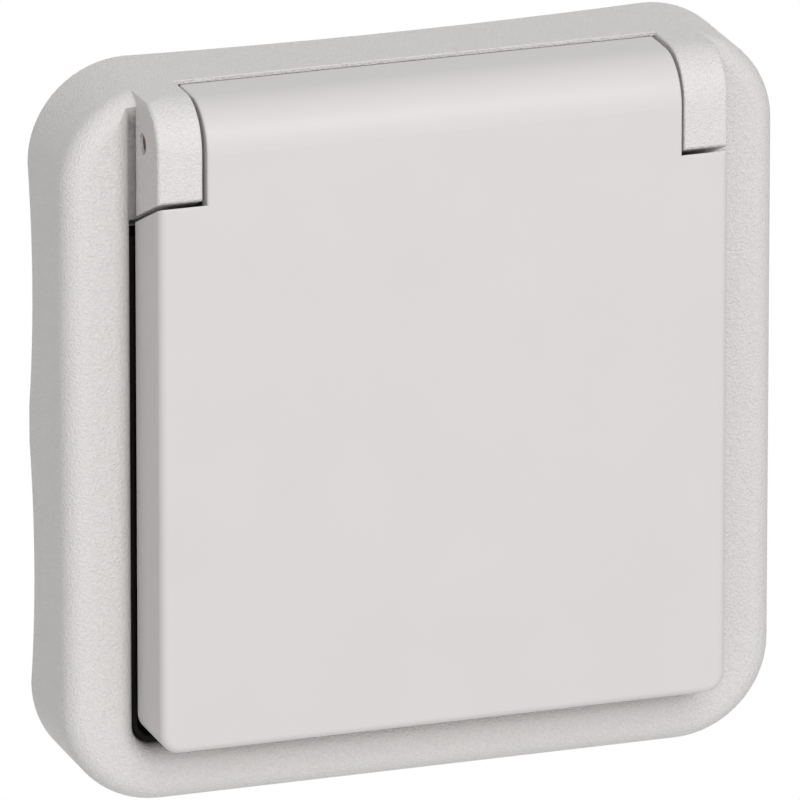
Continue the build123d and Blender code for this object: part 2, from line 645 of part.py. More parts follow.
def shutter_spring():
    end = COIL_WIRE_R + RUNNING_CLEARANCE
    z0, z1 = SHUTTER_TOP + end, COIL_END - end
    path = Helix(pitch=(z1 - z0) / SPRING_TURNS, height=z1 - z0, radius=COIL_R)
    coil = sweep(Plane(path @ 0, z_dir=path % 0) * Circle(COIL_WIRE_R), path=path, is_frenet=True)
    return Pos(0, -(FLOOR_BACK + SHUTTER_FLOOR) / 2, z0) * coil


def indicator_lens():
    window = rect(-LENS_W / 2, LENS_W / 2, LENS_Z - LENS_H / 2, LENS_Z + LENS_H / 2)
    body = slab(window, LENS_BACK, PLATE_FRONT + LENS_PROUD)
    body = fillet(body.faces().sort_by(Axis.Y)[0].edges(), 0.35)
    return body + slab(offset(window, LENS_LIP), PLATE_BACK - 2 * LENS_LIP, PLATE_BACK)


def indicator_led():
    front = BOARD_DEPTH + BOARD_T
    body = slab(Pos(0, LENS_Z) * Rectangle(LED_W, LED_H), front, front + 0.4 * LED_T)
    dome = RectangleRounded(0.75 * LED_W, 0.8 * LED_H, 0.2 * LED_H)
    return body + slab(Pos(0, LENS_Z) * dome, front, front + LED_T)


def indicator_board():
    half = POLE_X + BOARD_MARGIN
    plan = rect(-half, half, LENS_Z - BOARD_BELOW, LENS_Z + BOARD_ABOVE, 0.8) - Circle(CAVITY_R + 2 * FIT)
    for k in (-1, 1):
        plan -= Pos(k * POLE_X, LEAD_Z) * Circle(LEAD_R + RUNNING_CLEARANCE)
        plan -= Pos(k * PEG_X, LENS_Z) * Circle(PEG_R + RUNNING_CLEARANCE)
    return slab(plan, BOARD_DEPTH, BOARD_DEPTH + BOARD_T)


def dropper_resistor():
    front = BOARD_DEPTH + BOARD_T
    end = RESISTOR_X + RESISTOR_W
    half = RESISTOR_H / 2
    return block(RESISTOR_X, end, front, front + 0.6, LENS_Z - half, LENS_Z + half)


def indicator_pins():
    pins = []
    for k in (-1, 1):
        pins.append(rod_y(LEAD_R, k * POLE_X, LEAD_Z, -TAIL_DEPTH, BOARD_DEPTH + BOARD_T + 0.3))
    return Compound(children=pins)


NODES = {
    "cover_frame": cover_frame(),
    "hinged_lid": hinged_lid(),
    "hinge_pin_left": hinge_pin(-1),
    "hinge_pin_right": hinge_pin(1),
    "lid_spring": lid_spring(),
    "lid_gasket": lid_gasket(),
    "wall_gasket": wall_gasket(),
    "plate_gasket": plate_gasket(),
    "socket_faceplate": socket_faceplate(),
    "centre_screw": centre_screw(),
    "screw_insert": screw_insert(),
    "support_strap": support_strap(),
    "strap_rivets": strap_rivets(),
    "contact_base": contact_base(),
    "rear_cover": rear_cover(),
    "cover_screws": cover_screws(),
    "line_contact": pole_contact(-1),
    "neutral_contact": pole_contact(1),
    "line_terminal": terminal(-POLE_X),
    "neutral_terminal": terminal(POLE_X),
    "earth_terminal": terminal(0),
    "terminal_screws": terminal_screws(),
    "earth_bracket": earth_bracket(),
    "safety_shutter": safety_shutter(),
    "shutter_spring": shutter_spring(),
    "indicator_lens": indicator_lens(),
    "indicator_led": indicator_led(),
    "indicator_board": indicator_board(),
    "dropper_resistor": dropper_resistor(),
    "indicator_pins": indicator_pins(),
}

os.makedirs("parts", exist_ok=True)
for node, solid in NODES.items():
    export_step(solid, f"parts/{node}.step")
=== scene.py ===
import json
from math import cos, pi, radians, sin

import bmesh
import bpy
from bpy.props import FloatProperty, FloatVectorProperty, IntProperty, PointerProperty
from mathutils import Matrix, Vector


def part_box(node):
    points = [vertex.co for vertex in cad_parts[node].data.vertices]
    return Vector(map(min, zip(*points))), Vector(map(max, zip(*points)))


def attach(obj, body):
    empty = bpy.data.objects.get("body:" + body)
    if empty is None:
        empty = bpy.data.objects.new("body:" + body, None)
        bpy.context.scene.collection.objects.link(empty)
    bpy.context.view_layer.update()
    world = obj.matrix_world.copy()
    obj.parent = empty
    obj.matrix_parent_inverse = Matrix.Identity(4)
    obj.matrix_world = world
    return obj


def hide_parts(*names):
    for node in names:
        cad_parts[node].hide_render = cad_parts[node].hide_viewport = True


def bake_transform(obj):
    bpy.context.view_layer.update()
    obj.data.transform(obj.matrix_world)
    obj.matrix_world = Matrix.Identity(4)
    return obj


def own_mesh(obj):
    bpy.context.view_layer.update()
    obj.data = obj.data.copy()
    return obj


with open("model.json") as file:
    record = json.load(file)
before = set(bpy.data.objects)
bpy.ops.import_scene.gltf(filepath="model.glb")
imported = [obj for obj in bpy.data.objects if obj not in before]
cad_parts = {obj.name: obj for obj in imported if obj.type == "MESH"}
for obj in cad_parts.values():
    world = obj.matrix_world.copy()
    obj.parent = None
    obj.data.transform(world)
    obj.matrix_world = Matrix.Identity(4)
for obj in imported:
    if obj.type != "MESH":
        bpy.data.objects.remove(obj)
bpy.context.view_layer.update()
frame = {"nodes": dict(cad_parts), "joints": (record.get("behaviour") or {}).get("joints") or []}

bl_info = {
    "name": "Splash-proof wall socket",
    "version": (1, 0, 0),
    "blender": (4, 5, 0),
    "location": "View3D > Sidebar > Socket",
    "description": "Finishes, seals, springs and studio of a wall socket with indicator light",
    "category": "Object",
}

MM = 0.001
NODES = frame["nodes"]
HINGE = next(j for j in frame["joints"] if j["name"] == "lid_hinge")

# Seal rings: piece, CAD node, body, outer corner radius, width of the band and number of ridges.
SEAL_RINGS = (
    ("lid_seal_ring", "lid_gasket", "lid", 5.0 * MM, 2.5 * MM, 2),
    ("wall_seal_ring", "wall_gasket", "socket_body", 8.8 * MM, 2.3 * MM, 3),
)
RIDGE_HEIGHT = 0.7 * MM

# Mat below the faceplate, cut as its CAD node is: a flat sheet with an upstand along its outer edge.
MAT_T = 0.8 * MM
MAT_ROUNDING = 0.2 * MM
MAT_CORNER = 2.5 * MM
UPSTAND_T = 0.7 * MM
UPSTAND_ROUNDING = 0.25 * MM
NOTCH_X, NOTCH_Z = 27.4 * MM, 23.78 * MM  # inner corner of the notch below each ear
NOTCH_CORNER = 0.3 * MM
HOLE_HALF = 25.4 * MM
HOLE_CORNER = 4.0 * MM

COIL_POINTS = 16  # in one turn of a spring
SHARP_EDGE = radians(40)  # corners of a swept piece above this angle stay sharp
FLOW_RIPPLE_MM = 9.0  # of the lid and the faceplate
BLASTED_GRAIN_MM = 0.3
RIB_SPACING_MM = 0.5  # behind the indicator window
WAVE_BAND = 2 * pi / 20  # width of one band of a wave texture at scale 1

# The photograph's view: direction of the camera in degrees, its distance, the offset of its axis
# to the right of and above the frame origin, and its focal length in millimetres.
VIEW_AZIMUTH = -19.003
VIEW_ELEVATION = 18.553
VIEW_DISTANCE = 1.8704
VIEW_OFFSET = (1.735 * MM, -1.674 * MM)
VIEW_LENS = 765.0
SENSOR_W = 36
CLIP_START, CLIP_END = 0.05, 20

# One soft lamp, and the fill light: its axis, the end that it comes from, and its level there.
KEY_PLACE = (0.0, -0.983, 0.688)
KEY_SIZE = 0.6
KEY_POWER = 3.7
FILL = (("Y", -1.0, 0.99), ("Z", 1.0, 0.51), ("X", -1.0, 0.16))

# The floor's white share grows from its middle to 1, between two distances from there.
FLOOR_HALF = 0.6
FLOOR_WHITE = 0.7
FADE_START, FADE_END = 0.2 * FLOOR_HALF, 0.95 * FLOOR_HALF
WHITE = (1, 1, 1, 1)


def linear(code):
    """Linear red, green and blue of an sRGB hex colour."""
    parts = [int(code[i:i + 2], 16) / 255 for i in (0, 2, 4)]
    return tuple(c / 12.92 if c <= 0.04045 else ((c + 0.055) / 1.055) ** 2.4 for c in parts)


def colour(name, description, code):
    """A colour property whose default is an sRGB hex value."""
    return FloatVectorProperty(name=name, description=description, default=linear(code),
                               subtype="COLOR", size=3, min=0, max=1)


def length(name, description, size, **limits):
    """A length property in metres, shown to a hundredth of a millimetre."""
    return FloatProperty(name=name, description=description, default=size, unit="LENGTH",
                         precision=5, **limits)


class SocketFinish(bpy.types.PropertyGroup):
    """Colours and grain of the mouldings and metals."""

    cover: colour("Cover frame", "Grained light grey of the frame and its hinge ears", "DEDBDA")
    lid: colour("Lid", "Satin light grey of the lid", "D7D4D3")
    face: colour("Faceplate", "Polished light grey of the plug face", "E2E0DB")
    base: colour("Contact base", "Dark grey of the block behind the wall", "4A4A4C")
    shutter: colour("Shutter", "Natural tint of the sliding shutter", "C9C2AE")
    # Brownish black: the seals' own rubber, and in the slot round the lid also painted shade.
    rubber: colour("Seals", "Black rubber", "1A1512")
    steel: colour("Steel", "Bare and plated steel", "B4B4B2")
    brass: colour("Brass", "Contacts and clamps", "D2B06A")
    lens: colour("Lens", "Tinted indicator window", "C9281A")
    grain: length("Grain", "Width of one spark-eroded pit on the frame", 0.24 * MM,
                  min=0.05 * MM, max=2.0 * MM)


class SocketSizes(bpy.types.PropertyGroup):
    """Sizes of the pieces that are made here."""

    lid_wire: length("Lid spring wire", "Wire thickness of the lid spring", 0.6 * MM)
    lid_turns: IntProperty(name="Lid spring turns", description="Turns round the left pin",
                           default=6, min=2)
    shutter_wire: length("Shutter spring wire", "Wire thickness of the shutter spring", 0.34 * MM)
    shutter_turns: IntProperty(name="Shutter spring turns", description="Turns above the shutter",
                               default=6, min=2)
    floor_drop: length("Floor drop", "Studio floor below the middle of the socket", 0.45)


def add(tree, kind, inputs=(), **settings):
    """Add one node, set its properties, and give each named input a value or a link."""
    node = tree.nodes.new(kind)
    for key, value in settings.items():
        setattr(node, key, value)
    for key, value in dict(inputs).items():
        if isinstance(value, bpy.types.NodeSocket):
            tree.links.new(value, node.inputs[key])
        else:
            node.inputs[key].default_value = value
    return node


def surface(name, base, roughness, ior=1.5, metallic=0.0, **more):
    """A new material with its plain values set on the shader's own sockets."""
    material = bpy.data.materials.new(name)
    material.use_nodes = True
    shader = material.node_tree.nodes["Principled BSDF"]
    shader.inputs["Base Color"].default_value = (*base, 1)
    shader.inputs["Roughness"].default_value = roughness
    shader.inputs["IOR"].default_value = ior
    shader.inputs["Metallic"].default_value = metallic
    for key, value in more.items():
        shader.inputs[key.replace("_", " ")].default_value = value
    return material, material.node_tree, shader


def per_metre(width_mm):
    """Texture scale at which one cell of a pattern is so many millimetres wide."""
    return 1 / (width_mm * MM)


def tone(tree, shader, base, height, low, high):
    """Vary the base colour between two brightnesses along a pattern."""
    dark = (*[c * low for c in base], 1)
    light = (*[min(1, c * high) for c in base], 1)
    # A Mix node keeps its two colours at inputs 6 and 7, and the mixed one at output 2.
    shade = add(tree, "ShaderNodeMix", {"Factor": height, 6: dark, 7: light}, data_type="RGBA")
    tree.links.new(shade.outputs[2], shader.inputs["Base Color"])


def spark_grain_polycarbonate():
    """Polycarbonate blend from a spark-eroded mould: shallow round pits that glint one by one.

    Real pits are near 0.1 mm wide, about one pixel of the photograph's frame, so they are drawn
    coarser and deeper to show.
    """
    finish = bpy.context.scene.socket_finish
    material, tree, shader = surface("polycarbonate_spark_eroded", finish.cover,
                                     roughness=0.4, ior=1.58)
    place = add(tree, "ShaderNodeTexCoord").outputs["Object"]
    pits = add(tree, "ShaderNodeTexNoise", {"Vector": place, "Scale": per_metre(finish.grain / MM),
                                            "Detail": 1.0, "Roughness": 0.5})
    relief = add(tree, "ShaderNodeBump", {"Height": pits.outputs["Fac"], "Strength": 1.0,
                                          "Distance": 0.16 * MM})
    tree.links.new(relief.outputs["Normal"], shader.inputs["Normal"])
    gloss = add(tree, "ShaderNodeMapRange", {"Value": pits.outputs["Fac"], "From Min": 0.3,
                                             "From Max": 0.7, "To Min": 0.32, "To Max": 0.5})
    tree.links.new(gloss.outputs["Result"], shader.inputs["Roughness"])
    speck = add(tree, "ShaderNodeMapRange", {"Value": pits.outputs["Fac"], "From Min": 0.35,
                                             "From Max": 0.65})
    tone(tree, shader, finish.cover, speck.outputs["Result"], low=0.96, high=1.04)
    return material


def satin_polycarbonate(name, base, roughness):
    """Polycarbonate blend from a fine-blasted or polished mould: even, with a faint flow ripple.

    A blasted grain is too fine to show, so it is drawn coarser.
    """
    material, tree, shader = surface(name, base, roughness, ior=1.58)
    place = add(tree, "ShaderNodeTexCoord").outputs["Object"]
    ripple = add(tree, "ShaderNodeTexNoise", {"Vector": place, "Scale": per_metre(FLOW_RIPPLE_MM),
                                              "Detail": 1.0})
    blast = add(tree, "ShaderNodeTexNoise", {"Vector": place, "Scale": per_metre(BLASTED_GRAIN_MM),
                                             "Detail": 2.0})
    wide = add(tree, "ShaderNodeBump", {"Height": ripple.outputs["Fac"], "Strength": 0.10,
                                        "Distance": 0.02 * MM})
    fine = add(tree, "ShaderNodeBump", {"Height": blast.outputs["Fac"], "Strength": 0.05,
                                        "Distance": 0.02 * MM, "Normal": wide.outputs["Normal"]})
    tree.links.new(fine.outputs["Normal"], shader.inputs["Normal"])
    tone(tree, shader, base, ripple.outputs["Fac"], low=0.985, high=1.015)
    return material


def moulded(name, base, roughness, ior, cell_mm, depth_mm, contrast):
    """A plain moulding, such as thermoset, nylon or rubber: fine clouds in colour and relief.

    The clouds are drawn coarser than the filler that makes them, which is too fine to show.
    """
    material, tree, shader = surface(name, base, roughness, ior)
    place = add(tree, "ShaderNodeTexCoord").outputs["Object"]
    skin = add(tree, "ShaderNodeTexNoise", {"Vector": place, "Scale": per_metre(cell_mm),
                                            "Detail": 4.0})
    relief = add(tree, "ShaderNodeBump", {"Height": skin.outputs["Fac"], "Strength": 0.3,
                                          "Distance": depth_mm * MM})
    tree.links.new(relief.outputs["Normal"], shader.inputs["Normal"])
    tone(tree, shader, base, skin.outputs["Fac"], 1 - contrast, 1 + contrast)
    return material


def drawn_metal(name, base, roughness, stretch, line_mm, contrast):
    """Metal with tool or rolling lines: stretched noise that streaks colour and gloss.

    The lines are drawn wider than a tool leaves them, because those are too fine to show.
    """
    material, tree, shader = surface(name, base, roughness, metallic=1.0)
    place = add(tree, "ShaderNodeTexCoord").outputs["Object"]
    along = add(tree, "ShaderNodeMapping", {"Vector": place, "Scale": stretch})
    lines = add(tree, "ShaderNodeTexNoise", {"Vector": along.outputs["Vector"],
                                             "Scale": per_metre(line_mm), "Detail": 3.0})
    relief = add(tree, "ShaderNodeBump", {"Height": lines.outputs["Fac"], "Strength": 0.2,
                                          "Distance": 0.02 * MM})
    tree.links.new(relief.outputs["Normal"], shader.inputs["Normal"])
    gloss = add(tree, "ShaderNodeMapRange", {"Value": lines.outputs["Fac"],
                                             "To Min": roughness - 0.08, "To Max": roughness + 0.10})
    tree.links.new(gloss.outputs["Result"], shader.inputs["Roughness"])
    tone(tree, shader, base, lines.outputs["Fac"], 1 - contrast, 1 + contrast)
    return material


def ribbed_acrylic():
    """Tinted acrylic over fine upright ribs: deep red, with soft stripes that spread the light."""
    tint = bpy.context.scene.socket_finish.lens
    material, tree, shader = surface("acrylic_tinted", tint, roughness=0.12, ior=1.49,
                                     Transmission_Weight=0.45)
    place = add(tree, "ShaderNodeTexCoord").outputs["Object"]
    ribs = add(tree, "ShaderNodeTexWave", {"Vector": place,
                                           "Scale": per_metre(RIB_SPACING_MM) * WAVE_BAND},
               bands_direction="X")
    relief = add(tree, "ShaderNodeBump", {"Height": ribs.outputs["Fac"], "Strength": 0.4,
                                          "Distance": 0.08 * MM})
    tree.links.new(relief.outputs["Normal"], shader.inputs["Normal"])
    tone(tree, shader, tint, ribs.outputs["Fac"], low=0.85, high=1.1)
    return material


def rubber():
    """Moulded rubber: matt black, which in the slot round the lid also stands in for that slot's deep
    shade. Its low IOR keeps the slot as dark as it looks.
    """
    made = bpy.data.materials.get("rubber_moulded")
    return made or moulded("rubber_moulded", bpy.context.scene.socket_finish.rubber, roughness=0.85,
                           ior=1.35, cell_mm=0.5, depth_mm=0.03, contrast=0.18)


def spring_steel():
    """Drawn spring wire: bright steel with a faint mottle."""
    made = bpy.data.materials.get("spring_steel_drawn")
    return made or drawn_metal("spring_steel_drawn", bpy.context.scene.socket_finish.steel,
                               roughness=0.3, stretch=(1, 1, 1), line_mm=0.4, contrast=0.08)


def dress(material, *nodes):
    """Give CAD nodes this material alone."""
    for node in nodes:
        slots = NODES[node].data.materials
        slots.clear()
        slots.append(material)


def link(name, data):
    """A new object in the scene that shows this data."""
    made = bpy.data.objects.new(name, data)
    bpy.context.scene.collection.objects.link(made)
    return made


def smooth_piece(name, shell):
    """Turn a bmesh into a smooth-shaded object in the scene."""
    bmesh.ops.recalc_face_normals(shell, faces=shell.faces[:])
    mesh = bpy.data.meshes.new(name)
    shell.to_mesh(mesh)
    shell.free()
    mesh.shade_smooth()
    return link(name, mesh)


def seal_ring(name, half, corner, profile, corner_steps=12):
    """Sweep a closed profile of inset and depth round a rounded square of half width half."""
    stations = []
    for k in range(4):
        turn = k * pi / 2
        middle = Vector((half - corner, half - corner))
        middle.rotate(Matrix.Rotation(turn, 2))
        for s in range(corner_steps + 1):
            a = turn + s * pi / 2 / corner_steps
            out = Vector((cos(a), sin(a)))
            stations.append((middle + out * corner, out))
    shell = bmesh.new()
    loops = []
    for at, out in stations:
        across = [(at - out * inset, depth) for inset, depth in profile]
        loops.append([shell.verts.new((spot.x, -depth, spot.y)) for spot, depth in across])
    for i, loop in enumerate(loops):
        after = loops[(i + 1) % len(loops)]
        for j in range(len(profile)):
            n = (j + 1) % len(profile)
            shell.faces.new((loop[j], loop[n], after[n], after[j]))
    return smooth_piece(name, shell)


def ridged(width, flat, tips, ridges, steps=8):
    """Seal profile: flat at one depth, with rounded ridges behind it whose tips reach the other."""
    points = [(0.0, flat), (width, flat)]
    for s in range(ridges * steps + 1):
        u = width * (1 - s / (ridges * steps))
        points.append((u, tips + RIDGE_HEIGHT / 2 * (1 + cos(2 * pi * ridges * u / width))))
    return points


def curve_piece(name, curve):
    """Turn a bevelled curve into a smooth-shaded mesh object, with its sharp corners kept."""
    path = link(name + "_path", curve)
    bpy.context.view_layer.update()
    depsgraph = bpy.context.evaluated_depsgraph_get()
    mesh = bpy.data.meshes.new_from_object(path.evaluated_get(depsgraph))
    bpy.data.objects.remove(path)
    bpy.data.curves.remove(curve)
    mesh.name = name
    mesh.shade_smooth()
    mesh.set_sharp_from_angle(angle=SHARP_EDGE)
    return link(name, mesh)


def coil(turns):
    """Angle and share of the length at each point of a wound wire."""
    last = COIL_POINTS * turns
    return [(2 * pi * i / COIL_POINTS, i / last) for i in range(last + 1)]


def spring_piece(name, node, points, thickness):
    """A round spring wire along points, which stands for its CAD node."""
    path = bpy.data.curves.new(name, "CURVE")
    path.dimensions = "3D"
    path.bevel_depth = thickness / 2
    path.bevel_resolution = 3
    path.resolution_u = 3
    path.use_fill_caps = True
    line = path.splines.new("NURBS")
    line.points.add(len(points) - 1)
    for point, at in zip(line.points, points):
        point.co = (*at, 1)
    line.order_u = 3
    line.use_endpoint_u = True
    spring = curve_piece(name, path)
    spring.data.materials.append(spring_steel())
    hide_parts(node)
    return spring


def rounded(corners, steps=6):
    """Outline through square corners given as x, z and radius, each one turned into an arc."""
    points = []
    for i, (x, z, radius) in enumerate(corners):
        at = Vector((x, z))
        before = (Vector(corners[i - 1][:2]) - at).normalized()
        after = (Vector(corners[(i + 1) % len(corners)][:2]) - at).normalized()
        for s in range(steps + 1):
            a = s / steps * pi / 2
            points.append(at + before * radius * (1 - sin(a)) + after * radius * (1 - cos(a)))
    return points


def mat_piece(name, outlines, back, front, edge):
    """A flat mat between two depths with rounded edges: its outline, then its hole if it has one."""
    sheet = bpy.data.curves.new(name, "CURVE")
    sheet.dimensions = "2D"
    sheet.fill_mode = "BOTH"
    sheet.extrude = (front - back) / 2 - edge
    sheet.bevel_depth = edge
    sheet.bevel_resolution = 2
    sheet.offset = -edge
    for outline in outlines:
        line = sheet.splines.new("POLY")
        line.points.add(len(outline) - 1)
        for point, at in zip(line.points, outline):
            point.co = (*at, 0, 1)
        line.use_cyclic_u = True
    piece = curve_piece(name, sheet)
    upright = Matrix.Rotation(pi / 2, 4, "X")
    piece.data.transform(Matrix.Translation((0, -(front + back) / 2, 0)) @ upright)
    return piece


class SOCKET_OT_cover(bpy.types.Operator):
    """Give the frame its grain and the lid its satin"""

    bl_idname = "socket.cover"
    bl_label = "Cover frame and lid"

    def execute(self, context):
        dress(spark_grain_polycarbonate(), "cover_frame")
        # Blasted mould: soft, even highlights along the lid's roll.
        lid = context.scene.socket_finish.lid
        dress(satin_polycarbonate("polycarbonate_satin", lid, roughness=0.40), "hinged_lid")
        return {"FINISHED"}


class SOCKET_OT_hinge(bpy.types.Operator):
    """Turned pins, and the torsion spring wound round the left one"""

    bl_idname = "socket.hinge"
    bl_label = "Hinge pins and lid spring"

    def execute(self, context):
        # Turned steel coloured a dull dark brown, with fine lines round the pin.
        dress(drawn_metal("steel_dark_brown_turned", linear("6E6055"), roughness=0.45,
                          stretch=(1, 0.1, 0.1), line_mm=0.15, contrast=0.10),
              "hinge_pin_left", "hinge_pin_right")
        sizes = context.scene.socket_sizes
        low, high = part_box("lid_spring")
        wire = sizes.lid_wire
        axis = Vector(HINGE["pos_m"])
        radius = (high.z - low.z - wire) / 2
        x0, x1 = low.x + wire / 2, high.x - wire / 2
        # A straight leg that points forward into the lid, the turns, and an end bent to the axis.
        points = [Vector((x0, low.y + wire / 2, axis.z)),
                  Vector((x0, axis.y - radius - wire, axis.z))]
        for a, share in coil(sizes.lid_turns):
            x = x0 + (x1 - x0) * share
            points.append(Vector((x, axis.y - radius * cos(a), axis.z + radius * sin(a))))
        points.append(Vector((x1, axis.y, axis.z)))
        spring = spring_piece("lid_spring_wire", "lid_spring", points, wire)
        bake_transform(spring)
        return {"FINISHED"}


class SOCKET_OT_seals(bpy.types.Operator):
    """Rubber seals: ridged rings in the lid and at the wall, and the mat below the faceplate"""

    bl_idname = "socket.seals"
    bl_label = "Seals"

    def execute(self, context):
        for name, node, body, corner, width, ridges in SEAL_RINGS:
            low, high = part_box(node)
            ring = seal_ring(name, high.x, corner, ridged(width, -low.y, -high.y, ridges))
            self.fit(ring, node, body)
        self.mat()
        return {"FINISHED"}

    def mat(self):
        """Mat below the rim of the faceplate, notched for the ears, with its outer edge turned up."""
        low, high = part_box("plate_gasket")
        foot = [(low.x, low.z, MAT_CORNER), (high.x, low.z, MAT_CORNER)]
        notches = [(high.x, NOTCH_Z), (NOTCH_X, NOTCH_Z), (NOTCH_X, high.z),
                   (-NOTCH_X, high.z), (-NOTCH_X, NOTCH_Z), (low.x, NOTCH_Z)]
        outline = foot + [(x, z, NOTCH_CORNER) for x, z in notches]
        hole = [(x * HOLE_HALF, z * HOLE_HALF, HOLE_CORNER)
                for x, z in ((-1, -1), (1, -1), (1, 1), (-1, 1))]
        mat = mat_piece("plate_seal_mat", [rounded(outline), rounded(hole)],
                        -high.y, MAT_T - high.y, MAT_ROUNDING)
        self.fit(mat, "plate_gasket", "socket_body")
        # The upstand is partly the seal's lip along the wall and partly painted shade: its black
        # fills the view into the slot round the lid.
        left, right, floor = low.x + UPSTAND_T, high.x - UPSTAND_T, low.z + UPSTAND_T
        inner = MAT_CORNER - UPSTAND_T
        wall = foot + [(high.x, NOTCH_Z, NOTCH_CORNER), (right, NOTCH_Z, NOTCH_CORNER),
                       (right, floor, inner), (left, floor, inner),
                       (left, NOTCH_Z, NOTCH_CORNER), (low.x, NOTCH_Z, NOTCH_CORNER)]
        upstand = mat_piece("plate_seal_edge", [rounded(wall)],
                            MAT_T / 2 - high.y, -low.y, UPSTAND_ROUNDING)
        self.fit(upstand, "plate_gasket", "socket_body")

    def fit(self, piece, node, body):
        """Give a seal its rubber, the CAD node that it stands for and the body that it rides on."""
        piece.data.materials.append(rubber())
        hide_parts(node)
        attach(piece, body)


class SOCKET_OT_face(bpy.types.Operator):
    """Polished plug face, and the indicator light behind its tinted window"""

    bl_idname = "socket.face"
    bl_label = "Faceplate and indicator"

    def execute(self, context):
        # Polished mould: a clearer gloss than the lid's.
        face = context.scene.socket_finish.face
        dress(satin_polycarbonate("polycarbonate_polished", face, roughness=0.22),
              "socket_faceplate")
        dress(ribbed_acrylic(), "indicator_lens")
        # Cast epoxy: a glossy, milky yellow dome.
        dress(moulded("epoxy_cast", linear("EFE7C6"), roughness=0.2, ior=1.54,
                      cell_mm=0.6, depth_mm=0.01, contrast=0.05), "indicator_led")
        # Laminate under solder mask: half-gloss green, a little uneven.
        dress(moulded("laminate_solder_masked", linear("1F6B3A"), roughness=0.35, ior=1.5,
                      cell_mm=0.4, depth_mm=0.02, contrast=0.15), "indicator_board")
        # Lacquered ceramic: dark and half matt.
        dress(moulded("ceramic_lacquered", linear("2A2A2D"), roughness=0.45, ior=1.5,
                      cell_mm=0.3, depth_mm=0.02, contrast=0.2), "dropper_resistor")
        return {"FINISHED"}


class SOCKET_OT_insert(bpy.types.Operator):
    """Thermoset base, plated steel and stamped brass behind the wall"""

    bl_idname = "socket.insert"
    bl_label = "Insert"

    def execute(self, context):
        finish = context.scene.socket_finish
        # Phenolic with filler: dull dark grey, faintly clouded.
        dress(moulded("phenolic_moulded", finish.base, roughness=0.5, ior=1.6,
                      cell_mm=0.45, depth_mm=0.03, contrast=0.14), "contact_base", "rear_cover")
        # Rolled sheet under zinc: soft grey with long lines across the strap.
        dress(drawn_metal("steel_zinc_plated_sheet", finish.steel, roughness=0.4,
                          stretch=(0.08, 1, 1), line_mm=0.3, contrast=0.10), "support_strap")
        # Turned steel under zinc: brighter, with streaks down the shanks.
        dress(drawn_metal("steel_zinc_plated_turned", finish.steel, roughness=0.34,
                          stretch=(1, 0.15, 1), line_mm=0.2, contrast=0.08),
              "centre_screw", "strap_rivets", "cover_screws", "terminal_screws")
        # Stamped strip: warm yellow with rolling lines.
        dress(drawn_metal("brass_stamped", finish.brass, roughness=0.3,
                          stretch=(1, 0.1, 1), line_mm=0.25, contrast=0.10),
              "screw_insert", "line_contact", "neutral_contact", "line_terminal",
              "neutral_terminal", "earth_terminal", "earth_bracket", "indicator_pins")
        return {"FINISHED"}


class SOCKET_OT_shutter(bpy.types.Operator):
    """Sliding shutter and the spring that returns it"""

    bl_idname = "socket.shutter"
    bl_label = "Shutter and its spring"

    def execute(self, context):
        # Natural nylon: milky, half matt and nearly even.
        dress(moulded("nylon_moulded", context.scene.socket_finish.shutter, roughness=0.48, ior=1.53,
                      cell_mm=0.5, depth_mm=0.02, contrast=0.05), "safety_shutter")
        sizes = context.scene.socket_sizes
        low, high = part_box("shutter_spring")
        wire = sizes.shutter_wire
        middle = (low + high) / 2
        radius = (high.x - low.x - wire) / 2
        z0, z1 = low.z + wire / 2, high.z - wire / 2
        points = [Vector((radius * cos(a), middle.y + radius * sin(a), z0 + (z1 - z0) * share))
                  for a, share in coil(sizes.shutter_turns)]
        spring = spring_piece("shutter_spring_wire", "shutter_spring", points, wire)
        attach(spring, "socket_body")
        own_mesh(spring)
        return {"FINISHED"}


def background_rays(tree):
    """1 for rays that meet a white background: from the camera, off gloss or through glass."""
    path = add(tree, "ShaderNodeLightPath")
    seen = path.outputs["Is Camera Ray"]
    for ray in ("Is Glossy Ray", "Is Transmission Ray"):
        either = add(tree, "ShaderNodeMath", {0: seen, 1: path.outputs[ray]}, operation="MAXIMUM")
        seen = either.outputs[0]
    return seen


